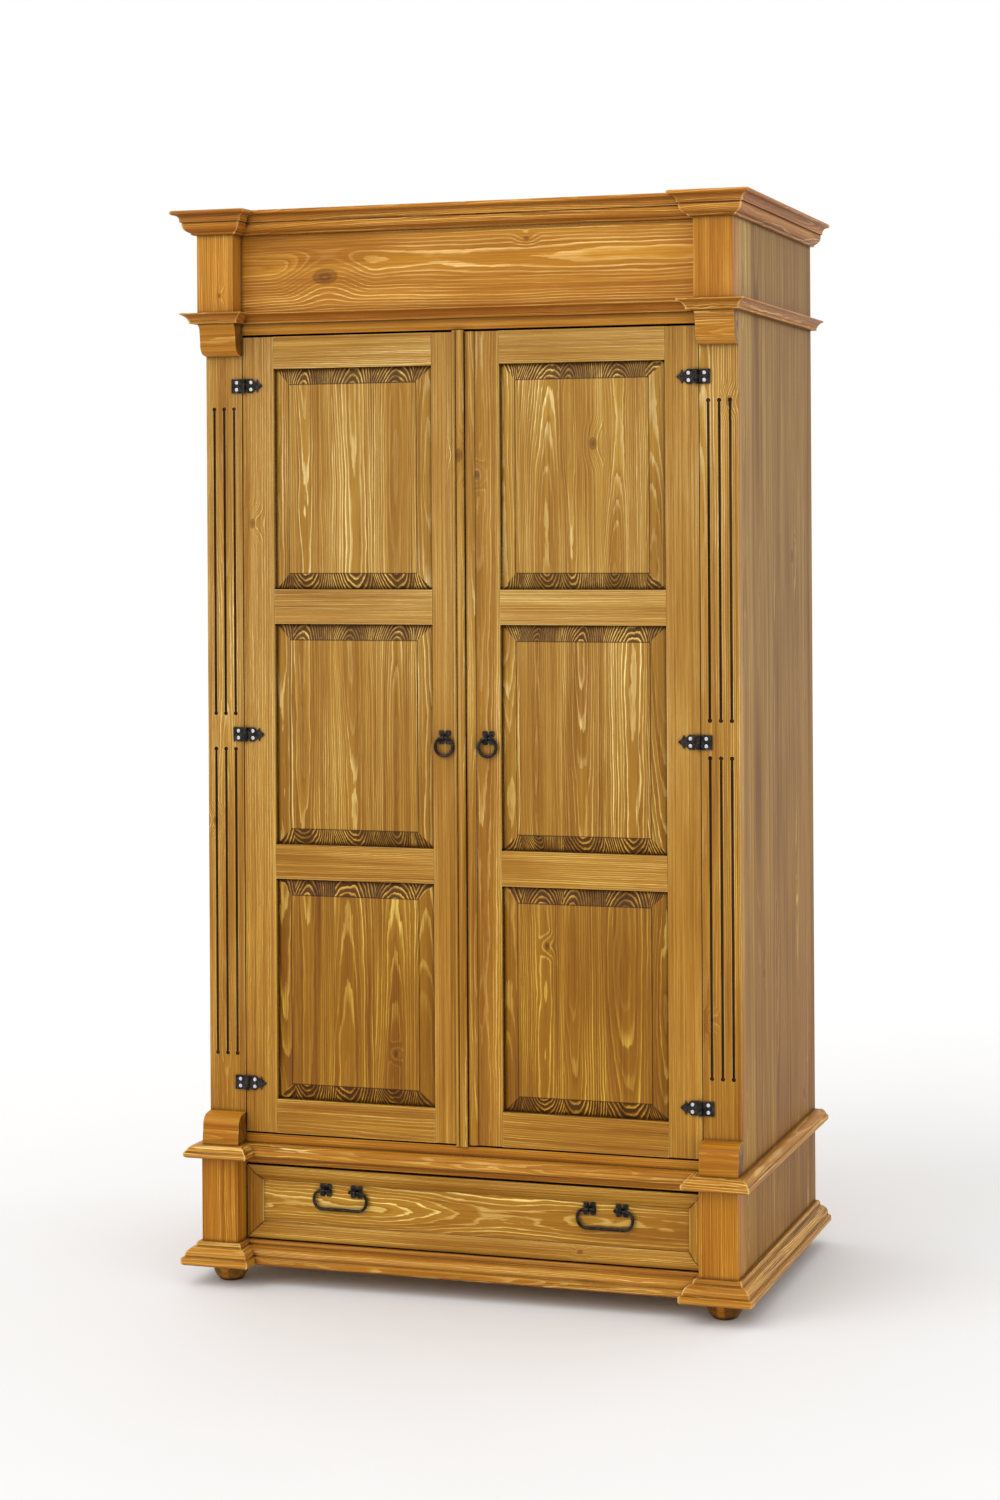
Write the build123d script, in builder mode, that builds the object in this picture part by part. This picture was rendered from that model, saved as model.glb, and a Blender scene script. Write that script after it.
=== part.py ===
"""A two-door pine wardrobe with one long drawer.

The case stands on four turned feet. Pilaster blocks with corbels break forward at both front
corners, and four moulding courses run round the front and the sides. Millimetres, +Z up, front
towards -Y, origin on the floor under the middle of the wardrobe's footprint.
"""

import os

from build123d import *

os.makedirs("parts", exist_ok=True)

# ---------------------------------------------------------------- the case
case_width = 1028.0
case_depth = 600.0
total_height = 2000.0
side_thickness = 20.0
top_thickness = 18.0
floor_thickness = 18.0
base_thickness = 18.0
front_thickness = 22.0
back_thickness = 12.0
back_board_count = 8
back_board_gap = 0.4
back_board_chamfer = 2.0
stile_width = 72.0
block_proud = 40.0

# ---------------------------------------------------------------- heights above the floor
foot_height = 38.0
drawer_bottom_gap = 2.0
drawer_front_height = 136.6
drawer_top_gap = 4.0
waist_rail_height = 55.4
waist_reveal = 18.0
door_bottom_gap = 3.0
head_gap = 4.0
head_rail_height = 40.0
frieze_height = 190.0

# ---------------------------------------------------------------- mouldings
crown_out = 39.0
crown_drop = 44.0
architrave_out = 26.0
architrave_drop = 19.0
waist_out = 27.0
waist_drop = 22.0
plinth_out = 31.0
plinth_drop = 41.0
mitre_gap = 0.1

# ---------------------------------------------------------------- flutes on the front stiles
flute_count = 3
flute_pitch = 20.0
flute_width = 5.0
flute_depth = 3.5
flute_end_radius = 4.0
flute_end_below = 95.0
flute_end_above = 105.0
flute_group_gap = 59.0

# ---------------------------------------------------------------- corbels and feet
corbel_height = 60.0
corbel_lower_height = 57.0
corbel_setback = 2.0
corbel_lip = 3.0
upper_corbel_waist = 28.0
lower_corbel_waist = 34.0
foot_top_radius = 31.0
foot_base_radius = 19.5
foot_belly_radius = 33.0
foot_inset = 37.0
foot_setback = 8.0

# ---------------------------------------------------------------- doors
door_thickness = 22.0
door_side_gap = 1.5
door_meeting_gap = 2.0
hinge_stile_width = 62.5
meeting_stile_width = 64.5
top_rail_width = 60.0
middle_rail_width = 64.0
bottom_rail_width = 63.0
groove_width = 6.4
groove_depth = 9.0
groove_setback = 10.0
tenon_play = 0.1
panel_play = 0.5
panel_bevel_width = 30.0
panel_field_setback = 1.0
strip_width = 23.0
strip_proud = 8.0
strip_bead_width = 14.5
strip_overhang = 2.8
bead_width = 17.6
bead_proud = 5.0

# ---------------------------------------------------------------- hinges
hinge_height = 26.0
hinge_plate = 2.0
hinge_frame_leaf = 21.0
hinge_door_leaf = 33.5
hinge_shoulder = 17.0
hinge_neck = 24.0
hinge_barb = 27.0
hinge_neck_half = 6.0
hinge_barb_inset = 0.5
hinge_arrow_back = 2.5
hinge_end_margin = 91.0
barrel_radius = 4.0
barrel_standoff = 0.4
barrel_inset = 5.0
pin_radius = 1.6
pin_play = 0.05
knuckle_count = 4
knuckle_play = 0.4
frame_leaf_play = 0.5
door_leaf_notch = 3.2
web_overlap = 0.4
hinge_screw_spacing = 13.0
hinge_screw_radius = 3.5
hinge_screw_from_pin = 14.5
hinge_screw_shank = 1.5
hinge_screw_dome = 1.2
screw_cross_length = 4.2
screw_cross_width = 1.0
screw_cross_depth = 0.8

# ---------------------------------------------------------------- ring pulls
pull_from_meeting = 42.0
ring_above_middle = 1.0
ring_radius = 16.8
pull_wire = 2.75
ring_plate = (23.0, 25.0)
plate_thickness = 1.6
lobe_round = 2.6
eye_wire = 1.2
eye_play = 0.65
eye_sink = 0.2

# ---------------------------------------------------------------- drawer
drawer_side_gap = 2.0
drawer_front_thickness = 18.0
drawer_frame_width = 29.0
drawer_frame_flat = 16.0
drawer_frame_thickness = 13.0
drawer_frame_quirk = 1.5
drawer_box_headroom = 29.6
drawer_back_gap = 57.0
drawer_box_inset = 12.0
drawer_box_thickness = 14.0
drawer_bottom_thickness = 6.0
drawer_bottom_rise = 10.0
drawer_box_rise = 3.0
runner_play = 0.5
runner_setback = 2.0
runner_overlap = 6.0
guide_height = 20.0
guide_play = 1.5

# ---------------------------------------------------------------- bail pulls
bail_from_centre = 256.0
bail_below_top = 41.6
bail_post_spacing = 61.0
bail_half_width = 52.0
bail_drop = 34.0
bail_plate = (23.0, 23.0)
bail_ball = 3.6
bail_tail = 11.0
bail_shoulder = 14.0
bail_side_height = 17.0
bail_corner = 16.0

# ---------------------------------------------------------------- inside fittings
shelf_below_head = 84.0
shelf_thickness = 18.0
shelf_play = 1.0
shelf_setback = 30.0
cleat_height = 30.0
cleat_width = 20.0
cleat_setback = 56.0
rail_radius = 12.5
rail_below_shelf = 70.0
rail_end_play = 1.0
socket_radius = 19.0
socket_thickness = 12.0
socket_play = 0.05
catch_size = (46.0, 16.0, 14.0)
catch_from_centre = 60.0
catch_gap = 0.5
strike_size = (40.0, 1.5, 12.0)

# ---------------------------------------------------------------- planes and lines that follow
front_y = -(case_depth - block_proud - crown_out) / 2
back_y = front_y + case_depth
block_y = front_y - block_proud
frame_back_y = front_y + front_thickness
board_front_y = back_y - back_thickness
half_case = case_width / 2
half_inside = half_case - side_thickness
half_opening = half_case - stile_width
side_top = total_height - top_thickness
plinth_top = foot_height + plinth_drop
drawer_bottom = plinth_top + drawer_bottom_gap
drawer_top = drawer_bottom + drawer_front_height
waist_rail_bottom = drawer_top + drawer_top_gap
floor_top = waist_rail_bottom + waist_rail_height
floor_bottom = floor_top - floor_thickness
waist_top = floor_top - waist_reveal
door_bottom = floor_top + door_bottom_gap
architrave_top = total_height - frieze_height
head_bottom = architrave_top - head_rail_height
door_top = head_bottom - head_gap
door_height = door_top - door_bottom
door_middle = (door_bottom + door_top) / 2
upper_corbel_top = architrave_top - architrave_drop
corbel_proud = block_proud - corbel_setback
lower_corbel_top = waist_top + corbel_lower_height
door_outer = half_opening - door_side_gap
door_inner = door_meeting_gap / 2
hinge_x = half_opening - barrel_inset
hinge_y = front_y - barrel_standoff - barrel_radius
eye_radius = pull_wire + eye_play + eye_wire
pivot_proud = plate_thickness + eye_radius + eye_wire - eye_sink
ring_y = front_y - pivot_proud
ring_pivot_height = door_middle + ring_above_middle
bail_pivot_height = drawer_top - bail_below_top


def finish(part, name):
    """Labels one piece and writes it as its own node."""
    part.label = name
    export_step(part, f"parts/{name}.step")


def board(x, y, z):
    """A squared board between two limits on each axis."""
    with BuildPart() as piece:
        with Locations(((x[0] + x[1]) / 2, (y[0] + y[1]) / 2, (z[0] + z[1]) / 2)):
            Box(abs(x[1] - x[0]), abs(y[1] - y[0]), abs(z[1] - z[0]))
    return piece.part


def span(side, near, far):
    """Two X limits on the left (-1) or right (+1), given as distances from the middle."""
    return sorted((side * near, side * far))


# ================================================================ case boards
for name, side in (("left", -1), ("right", 1)):
    side_panel = board(
        span(side, half_inside, half_case), (frame_back_y, back_y), (foot_height, side_top)
    )
    finish(side_panel, f"{name}_side_panel")

top_panel = board((-half_case, half_case), (front_y, back_y), (side_top, total_height))
finish(top_panel, "top_panel")

wardrobe_floor = board(
    (-half_inside, half_inside), (frame_back_y, board_front_y), (floor_bottom, floor_top)
)
finish(wardrobe_floor, "wardrobe_floor")

base_top = foot_height + base_thickness
with BuildPart() as base_panel:
    add(board((-half_inside, half_inside), (frame_back_y, board_front_y), (foot_height, base_top)))
    add(board((-half_opening, half_opening), (front_y, frame_back_y), (foot_height, base_top)))
finish(base_panel.part, "base_panel")

head_rail = board(
    (-half_opening, half_opening), (front_y, frame_back_y), (head_bottom, architrave_top)
)
finish(head_rail, "head_rail")

frieze_board = board(
    (-half_opening, half_opening), (front_y, frame_back_y), (architrave_top, side_top)
)
finish(frieze_board, "frieze_board")

waist_rail = board(
    (-half_opening, half_opening), (front_y, frame_back_y), (waist_rail_bottom, floor_top)
)
finish(waist_rail, "waist_rail")

back_pitch = (2 * half_inside + back_board_gap) / back_board_count
back_boards = []
for index in range(back_board_count):
    left_edge = -half_inside + index * back_pitch
    with BuildPart() as back_board:
        with Locations(
            (
                left_edge + (back_pitch - back_board_gap) / 2,
                (board_front_y + back_y) / 2,
                (foot_height + side_top) / 2,
            )
        ):
            Box(back_pitch - back_board_gap, back_thickness, side_top - foot_height)
        chamfer(back_board.edges().filter_by(Axis.Z), back_board_chamfer)
    back_boards.append(back_board.part)
finish(Compound(children=back_boards), "back_boards")


# ================================================================ fluted front stiles
def flute_lengths():
    """Top and bottom of the two groups of flutes, one above the other."""
    top = upper_corbel_top - corbel_height - flute_end_below
    bottom = lower_corbel_top + flute_end_above
    middle = (top + bottom) / 2
    return ((bottom, middle - flute_group_gap / 2), (middle + flute_group_gap / 2, top))


for name, side in (("left", -1), ("right", 1)):
    with BuildPart() as front_stile:
        add(
            board(
                span(side, half_opening, half_case),
                (front_y, frame_back_y),
                (foot_height, side_top),
            )
        )
        for low, high in flute_lengths():
            with BuildSketch(Plane.XZ.offset(-front_y)):
                for step in range(flute_count):
                    offset_x = (step - (flute_count - 1) / 2) * flute_pitch
                    flute_x = side * (half_case - stile_width / 2) + offset_x
                    with Locations((flute_x, (low + high) / 2)):
                        Rectangle(flute_width, high - low - 2 * flute_end_radius)
                    with Locations(
                        (flute_x, low + flute_end_radius), (flute_x, high - flute_end_radius)
                    ):
                        Circle(flute_end_radius)
            extrude(amount=-flute_depth, mode=Mode.SUBTRACT)
    finish(front_stile.part, f"{name}_front_stile")


# ================================================================ pilaster blocks
for name, side in (("left", -1), ("right", 1)):
    frieze_block = board(
        span(side, half_opening, half_case), (block_y, front_y), (upper_corbel_top, total_height)
    )
    finish(frieze_block, f"{name}_frieze_block")
    base_block = board(
        span(side, half_opening, half_case), (block_y, front_y), (foot_height, waist_top)
    )
    finish(base_block, f"{name}_base_block")


# ================================================================ corbels
def corbels(block_end, height, waist, away):
    """A pair of scroll corbels, drawn in from a lip at the block and rounded at the free end.

    They hang down from the block where away is -1 and stand on it where away is 1.
    """
    lip_foot = corbel_lip * 4.5
    hollow = waist + corbel_lip
    with BuildPart() as pair:
        for side in (-1, 1):
            inner = min(side * half_opening, side * half_case)
            section = Plane((inner, front_y, block_end), x_dir=(0, -1, 0), z_dir=(away, 0, 0))
            with BuildSketch(section):
                with BuildLine():
                    Line((0, 0), (corbel_proud, 0))
                    Line((corbel_proud, 0), (corbel_proud, -corbel_lip))
                    ThreePointArc(
                        (corbel_proud, -corbel_lip),
                        (hollow + (corbel_proud - hollow) * 0.2, -lip_foot * 0.6),
                        (hollow, -lip_foot),
                    )
                    ThreePointArc(
                        (hollow, -lip_foot),
                        (waist + 1, -height * 0.42),
                        (waist, -height * 0.62),
                    )
                    ThreePointArc(
                        (waist, -height * 0.62),
                        (waist * 0.86, -height * 0.84),
                        (waist * 0.5, -height * 0.955),
                    )
                    Line((waist * 0.5, -height * 0.955), (0, -height))
                    Line((0, -height), (0, 0))
                make_face()
            extrude(amount=stile_width * away)
    return pair.part


upper_corbels = corbels(upper_corbel_top, corbel_height, upper_corbel_waist, -1)
finish(upper_corbels, "upper_corbels")
lower_corbels = corbels(waist_top, corbel_lower_height, lower_corbel_waist, 1)
finish(lower_corbels, "lower_corbels")


# ================================================================ mouldings
def crown_outline():
    """Nose bead, cove, fillet and ovolo, drawn as distance out and distance down."""
    with BuildSketch() as outline:
        with BuildLine():
            Line((0, 0), (crown_out - 4, 0))
            ThreePointArc((crown_out - 4, 0), (crown_out, 4), (crown_out - 4, 8))
            Line((crown_out - 4, 8), (crown_out - 7, 8))
            ThreePointArc(
                (crown_out - 7, 8), (crown_out - 12.5, 12), (crown_out - 14.5, 18)
            )
            Line((crown_out - 14.5, 18), (crown_out - 14.5, 21))
            Line((crown_out - 14.5, 21), (crown_out - 18, 21))
            ThreePointArc(
                (crown_out - 18, 21), (crown_out - 20, 33), (crown_out - 30, crown_drop - 4)
            )
            ThreePointArc(
                (crown_out - 30, crown_drop - 4),
                (crown_out - 31, crown_drop - 1.5),
                (crown_out - 33, crown_drop),
            )
            Line((crown_out - 33, crown_drop), (0, crown_drop))
            Line((0, crown_drop), (0, 0))
        make_face()
    return outline.sketch


def architrave_outline():
    """A thin nose over a slanted cove."""
    with BuildSketch() as outline:
        with BuildLine():
            Line((0, 0), (architrave_out - 1, 0))
            ThreePointArc(
                (architrave_out - 1, 0), (architrave_out, 1.5), (architrave_out - 1, 3)
            )
            Line((architrave_out - 1, 3), (architrave_out - 4, 4))
            ThreePointArc(
                (architrave_out - 4, 4), (architrave_out - 9.5, 8), (architrave_out - 13, 14)
            )
            Line((architrave_out - 13, 14), (architrave_out - 14, 14))
            Line((architrave_out - 14, 14), (architrave_out - 14, architrave_drop))
            Line((architrave_out - 14, architrave_drop), (0, architrave_drop))
            Line((0, architrave_drop), (0, 0))
        make_face()
    return outline.sketch


def waist_outline():
    """A sloping cap that falls to a rounded nose."""
    with BuildSketch() as outline:
        with BuildLine():
            Line((0, 0), (waist_out - 14, 0))
            ThreePointArc((waist_out - 14, 0), (waist_out - 7.5, 3.5), (waist_out - 4, 9.5))
            Line((waist_out - 4, 9.5), (waist_out - 2, 10))
            ThreePointArc((waist_out - 2, 10), (waist_out, 15), (waist_out - 1.5, 20))
            Line((waist_out - 1.5, 20), (waist_out - 5, waist_drop))
            Line((waist_out - 5, waist_drop), (0, waist_drop))
            Line((0, waist_drop), (0, 0))
        make_face()
    return outline.sketch


def plinth_outline():
    """A small bead over an ovolo and an upright band."""
    with BuildSketch() as outline:
        with BuildLine():
            Line((0, 0), (plinth_out - 25, 0))
            ThreePointArc((plinth_out - 25, 0), (plinth_out - 22, 4), (plinth_out - 22, 8))
            Line((plinth_out - 22, 8), (plinth_out - 21, 9))
            ThreePointArc((plinth_out - 21, 9), (plinth_out - 10, 14), (plinth_out - 6, 26))
            Line((plinth_out - 6, 26), (plinth_out - 2, 27))
            ThreePointArc((plinth_out - 2, 27), (plinth_out - 0.5, 27.8), (plinth_out, 30))
            Line((plinth_out, 30), (plinth_out, plinth_drop - 3))
            Line((plinth_out, plinth_drop - 3), (plinth_out - 3, plinth_drop))
            Line((plinth_out - 3, plinth_drop), (0, plinth_drop))
            Line((0, plinth_drop), (0, 0))
        make_face()
    return outline.sketch


def moulding_course(outline, top, reach):
    """Seven lengths round the sides, the blocks and the centre, mitred where they turn."""
    turns = [
        Vector(-half_case, back_y, top),
        Vector(-half_case, block_y, top),
        Vector(-half_opening, block_y, top),
        Vector(-half_opening, front_y, top),
        Vector(half_opening, front_y, top),
        Vector(half_opening, block_y, top),
        Vector(half_case, block_y, top),
        Vector(half_case, back_y, top),
    ]
    headings = [(end - start).normalized() for start, end in zip(turns, turns[1:])]
    lengths = []
    for index, heading in enumerate(headings):
        first = index == 0
        last = index == len(headings) - 1
        start = turns[index] - heading * (0 if first else reach)
        end = turns[index + 1] + heading * (0 if last else reach)
        section = Plane(start, x_dir=Vector(heading.Y, -heading.X), z_dir=heading)
        with BuildPart() as run:
            with BuildSketch(section):
                add(outline)
            extrude(amount=(end - start).length)
            if not first:
                mitre = Plane(turns[index], z_dir=headings[index - 1] + heading)
                split(bisect_by=mitre.offset(mitre_gap / 2), keep=Keep.TOP)
            if not last:
                mitre = Plane(turns[index + 1], z_dir=heading + headings[index + 1])
                split(bisect_by=mitre.offset(-mitre_gap / 2), keep=Keep.BOTTOM)
        lengths.append(run.part)
    return Compound(children=lengths)


courses = (
    ("crown_moulding", crown_outline(), total_height, crown_out),
    ("architrave_moulding", architrave_outline(), architrave_top, architrave_out),
    ("waist_moulding", waist_outline(), waist_top, waist_out),
    ("plinth_moulding", plinth_outline(), plinth_top, plinth_out),
)
for name, outline, top, reach in courses:
    finish(moulding_course(outline, top, reach), name)


# ================================================================ turned feet
foot_x = half_case - foot_inset
with BuildPart() as feet:
    for x, y in (
        (-foot_x, front_y + foot_setback),
        (foot_x, front_y + foot_setback),
        (-foot_x, back_y - foot_inset),
        (foot_x, back_y - foot_inset),
    ):
        with BuildSketch(Plane(origin=(x, y, 0), x_dir=(1, 0, 0), z_dir=(0, -1, 0))):
            with BuildLine():
                Line((0, 0), (foot_base_radius, 0))
                ThreePointArc(
                    (foot_base_radius, 0),
                    (foot_belly_radius - 3.5, foot_height * 0.3),
                    (foot_belly_radius, foot_height * 0.62),
                )
                ThreePointArc(
                    (foot_belly_radius, foot_height * 0.62),
                    (foot_belly_radius - 0.4, foot_height * 0.82),
                    (foot_top_radius, foot_height),
                )
                Line((foot_top_radius, foot_height), (0, foot_height))
                Line((0, foot_height), (0, 0))
            make_face()
        revolve(axis=Axis((x, y, 0), (0, 0, 1)))
finish(feet.part, "feet")


# ================================================================ inside the wardrobe
shelf_top = door_top - shelf_below_head
shelf_bottom = shelf_top - shelf_thickness
hat_shelf = board(
    (-half_inside + shelf_play, half_inside - shelf_play),
    (frame_back_y + shelf_setback, board_front_y - shelf_play),
    (shelf_bottom, shelf_top),
)
finish(hat_shelf, "hat_shelf")

with BuildPart() as shelf_cleats:
    for side in (-1, 1):
        add(
            board(
                span(side, half_inside - cleat_width, half_inside),
                (frame_back_y + shelf_setback + cleat_setback, board_front_y),
                (shelf_bottom - cleat_height, shelf_bottom),
            )
        )
finish(shelf_cleats.part, "shelf_cleats")

rail_y = (frame_back_y + board_front_y) / 2
rail_z = shelf_bottom - rail_below_shelf
rail_half = half_inside - rail_end_play
with BuildPart() as hanging_rail:
    with Locations(Location((0, rail_y, rail_z), (0, 90, 0))):
        Cylinder(rail_radius, 2 * rail_half)
finish(hanging_rail.part, "hanging_rail")

with BuildPart() as rail_sockets:
    for side in (-1, 1):
        socket_x = side * (half_inside - socket_thickness / 2)
        with Locations(Location((socket_x, rail_y, rail_z), (0, 90, 0))):
            Cylinder(socket_radius, socket_thickness)
            Cylinder(rail_radius + socket_play, socket_thickness, mode=Mode.SUBTRACT)
        with Locations((socket_x, rail_y, rail_z + socket_radius)):
            Box(
                socket_thickness,
                2 * (rail_radius + socket_play),
                2 * socket_radius,
                mode=Mode.SUBTRACT,
            )
finish(rail_sockets.part, "rail_sockets")

strike_back_y = front_y + door_thickness + strike_size[1]
catch_front_y = strike_back_y + catch_gap
with BuildPart() as door_catches:
    for side in (-1, 1):
        add(
            board(
                (
                    side * catch_from_centre - catch_size[0] / 2,
                    side * catch_from_centre + catch_size[0] / 2,
                ),
                (catch_front_y, catch_front_y + catch_size[1]),
                (floor_top, floor_top + catch_size[2]),
            )
        )
finish(door_catches.part, "door_catches")


# ================================================================ doors
panel_inner = door_inner + meeting_stile_width
panel_outer = door_outer - hinge_stile_width
panel_height = (door_height - top_rail_width - bottom_rail_width - 2 * middle_rail_width) / 3
panel_bottoms = [
    door_bottom + bottom_rail_width + index * (panel_height + middle_rail_width)
    for index in range(3)
]
groove_y = (front_y + groove_setback, front_y + groove_setback + groove_width)
tenon_y = (groove_y[0] + tenon_play, groove_y[1] - tenon_play)


def grooved_stile(side, near, far, inner_edge):
    """An upright of the door frame with a panel groove along its inner edge."""
    into = 1 if inner_edge == far else -1
    with BuildPart() as stile:
        add(board(span(side, near, far), (front_y, front_y + door_thickness), (door_bottom, door_top)))
        add(
            board(
                span(side, inner_edge, inner_edge - into * groove_depth),
                groove_y,
                (door_bottom, door_top),
            ),
            mode=Mode.SUBTRACT,
        )
    return stile.part


def rail(side, low, high):
    """A cross rail with stub tenons, grooved on the edges that hold panels."""
    reach = groove_depth - tenon_play
    with BuildPart() as piece:
        add(board(span(side, panel_inner, panel_outer), (front_y, front_y + door_thickness), (low, high)))
        add(board(span(side, panel_inner - reach, panel_outer + reach), tenon_y, (low, high)))
        if high < door_top:
            add(
                board(
                    span(side, panel_inner - reach, panel_outer + reach),
                    groove_y,
                    (high - groove_depth, high),
                ),
                mode=Mode.SUBTRACT,
            )
        if low > door_bottom:
            add(
                board(
                    span(side, panel_inner - reach, panel_outer + reach),
                    groove_y,
                    (low, low + groove_depth),
                ),
                mode=Mode.SUBTRACT,
            )
    return piece.part


def raised_panel(side, low):
    """A fielded panel: wide bevels fall from the field to a tongue held in the grooves."""
    middle_x = side * (panel_inner + panel_outer) / 2
    middle_z = low + panel_height / 2
    width = panel_outer - panel_inner
    tongue = groove_depth - panel_play
    tongue_front = front_y + groove_setback + tenon_play
    tongue_back = front_y + groove_setback + groove_width - tenon_play
    with BuildPart() as panel:
        with BuildSketch(Plane.XZ.offset(-tongue_front)):
            with Locations((middle_x, middle_z)):
                Rectangle(width, panel_height)
        with BuildSketch(Plane.XZ.offset(-front_y - panel_field_setback)):
            with Locations((middle_x, middle_z)):
                Rectangle(width - 2 * panel_bevel_width, panel_height - 2 * panel_bevel_width)
        loft(ruled=True)
        with Locations((middle_x, (tongue_front + tongue_back) / 2, middle_z)):
            Box(width + 2 * tongue, tongue_back - tongue_front, panel_height + 2 * tongue)
    return panel.part


def cover_strip():
    """The moulded strip on the left door's meeting edge: a low cove, a quirk and a bead."""
    inner = -door_inner
    outer = inner - strip_width
    bead = inner - strip_bead_width
    with BuildPart() as strip:
        with BuildSketch(Plane.XY.offset(door_bottom - strip_overhang)):
            with BuildLine():
                Line((inner, front_y), (inner, front_y - strip_proud + 4))
                ThreePointArc(
                    (inner, front_y - strip_proud + 4),
                    ((inner + bead) / 2, front_y - strip_proud),
                    (bead, front_y - strip_proud + 4),
                )
                Line((bead, front_y - strip_proud + 4), (bead - 1, front_y - 2.5))
                ThreePointArc(
                    (bead - 1, front_y - 2.5),
                    ((bead - 1 + outer) / 2 - 1, front_y - 5.0),
                    (outer, front_y - 1.5),
                )
                Line((outer, front_y - 1.5), (outer, front_y))
                Line((outer, front_y), (inner, front_y))
            make_face()
        extrude(amount=door_height + 2 * strip_overhang)
    return strip.part


def edge_bead():
    """The rounded bead on the right door's meeting edge."""
    with BuildPart() as bead:
        with BuildSketch(Plane.XY.offset(door_bottom)):
            with BuildLine():
                Line((door_inner, front_y), (door_inner, front_y - bead_proud + 3))
                ThreePointArc(
                    (door_inner, front_y - bead_proud + 3),
                    (door_inner + bead_width / 2, front_y - bead_proud),
                    (door_inner + bead_width, front_y - bead_proud + 3),
                )
                Line(
                    (door_inner + bead_width, front_y - bead_proud + 3),
                    (door_inner + bead_width, front_y),
                )
                Line((door_inner + bead_width, front_y), (door_inner, front_y))
            make_face()
        extrude(amount=door_height)
    return bead.part


for name, side in (("left", -1), ("right", 1)):
    hinge_stile = grooved_stile(side, panel_outer, door_outer, panel_outer)
    finish(hinge_stile, f"{name}_door_hinge_stile")
    meeting_stile = grooved_stile(side, door_inner, panel_inner, panel_inner)
    finish(meeting_stile, f"{name}_door_meeting_stile")
    rail_limits = [(door_bottom, panel_bottoms[0])]
    for bottom in panel_bottoms[:-1]:
        rail_limits.append((bottom + panel_height, bottom + panel_height + middle_rail_width))
    rail_limits.append((door_top - top_rail_width, door_top))
    rails = [rail(side, low, high) for low, high in rail_limits]
    finish(Compound(children=rails), f"{name}_door_rails")
    panels = [raised_panel(side, bottom) for bottom in panel_bottoms]
    finish(Compound(children=panels), f"{name}_door_panels")
    strike_plate = board(
        (
            side * catch_from_centre - strike_size[0] / 2,
            side * catch_from_centre + strike_size[0] / 2,
        ),
        (front_y + door_thickness, strike_back_y),
        (door_bottom, door_bottom + strike_size[2]),
    )
    finish(strike_plate, f"{name}_strike_plate")

finish(cover_strip(), "left_door_cover_strip")
finish(edge_bead(), "right_door_edge_bead")


# ================================================================ hinges
hinge_heights = (
    door_bottom + hinge_end_margin,
    door_middle,
    door_top - hinge_end_margin,
)
knuckle_pitch = hinge_height / knuckle_count


def knuckle_leaf(side, height, on_door):
    """One leaf of a strap hinge: a pierced plate on the face and its share of the knuckles."""
    away = -side if on_door else side
    first = 1 if on_door else 0
    plate_start = barrel_radius + (door_leaf_notch if on_door else frame_leaf_play)
    edge_x = hinge_x * side
    low = height - hinge_height / 2
    web_y = front_y - barrel_standoff - hinge_plate / 2
    screws = [
        (edge_x + away * hinge_screw_from_pin, height + sign * hinge_screw_spacing / 2)
        for sign in (-1, 1)
    ]
    with BuildPart() as leaf:
        with BuildSketch(Plane.XZ.offset(-front_y)):
            with BuildLine():
                if on_door:
                    tip = edge_x + away * (barrel_radius + hinge_door_leaf)
                    start = edge_x + away * plate_start
                    shoulder = edge_x + away * hinge_shoulder
                    neck = edge_x + away * hinge_neck
                    barb = edge_x + away * hinge_barb
                    arrow = barb + away * hinge_arrow_back
                    Polyline(
                        (start, low),
                        (shoulder, low),
                        (neck, height - hinge_neck_half),
                        (barb, low + hinge_barb_inset),
                        (arrow, height - hinge_neck_half),
                        (tip, height),
                        (arrow, height + hinge_neck_half),
                        (barb, low + hinge_height - hinge_barb_inset),
                        (neck, height + hinge_neck_half),
                        (shoulder, low + hinge_height),
                        (start, low + hinge_height),
                        close=True,
                    )
                else:
                    end = edge_x + away * (barrel_radius + hinge_frame_leaf)
                    start = edge_x + away * plate_start
                    Polyline(
                        (start, low),
                        (end, low),
                        (end, low + hinge_height),
                        (start, low + hinge_height),
                        close=True,
                    )
            make_face()
            with Locations(*screws):
                Circle(hinge_screw_shank + tenon_play, mode=Mode.SUBTRACT)
        extrude(amount=hinge_plate)
        for index in range(first, knuckle_count, 2):
            knuckle_low = low + index * knuckle_pitch + knuckle_play / 2
            with BuildSketch(Plane.XY.offset(knuckle_low)):
                with Locations((edge_x, hinge_y)):
                    Circle(barrel_radius)
                with Locations((edge_x + away * plate_start / 2, web_y)):
                    Rectangle(plate_start + web_overlap, hinge_plate)
                with Locations((edge_x, hinge_y)):
                    Circle(pin_radius + pin_play, mode=Mode.SUBTRACT)
            extrude(amount=knuckle_pitch - knuckle_play)
    return leaf.part


def screw(x, z, seat_y):
    """A pan-head wood screw driven back into the wood."""
    with BuildPart() as piece:
        with BuildSketch(Plane.XZ.offset(-seat_y)):
            with Locations((x, z)):
                Circle(hinge_screw_radius)
        extrude(amount=hinge_screw_dome)
        crown_edge = piece.faces().sort_by(Axis.Y)[0].outer_wire().edges()
        fillet(crown_edge, hinge_screw_dome * 0.8)
        with BuildSketch(Plane.XZ.offset(-seat_y + hinge_screw_dome)):
            for turn in (45, 135):
                with Locations(Location((x, z), turn)):
                    Rectangle(screw_cross_length, screw_cross_width)
        extrude(amount=-screw_cross_depth, mode=Mode.SUBTRACT)
        with BuildSketch(Plane.XZ.offset(-seat_y)):
            with Locations((x, z)):
                Circle(hinge_screw_shank)
        extrude(amount=-hinge_plate)
    return piece.part


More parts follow.
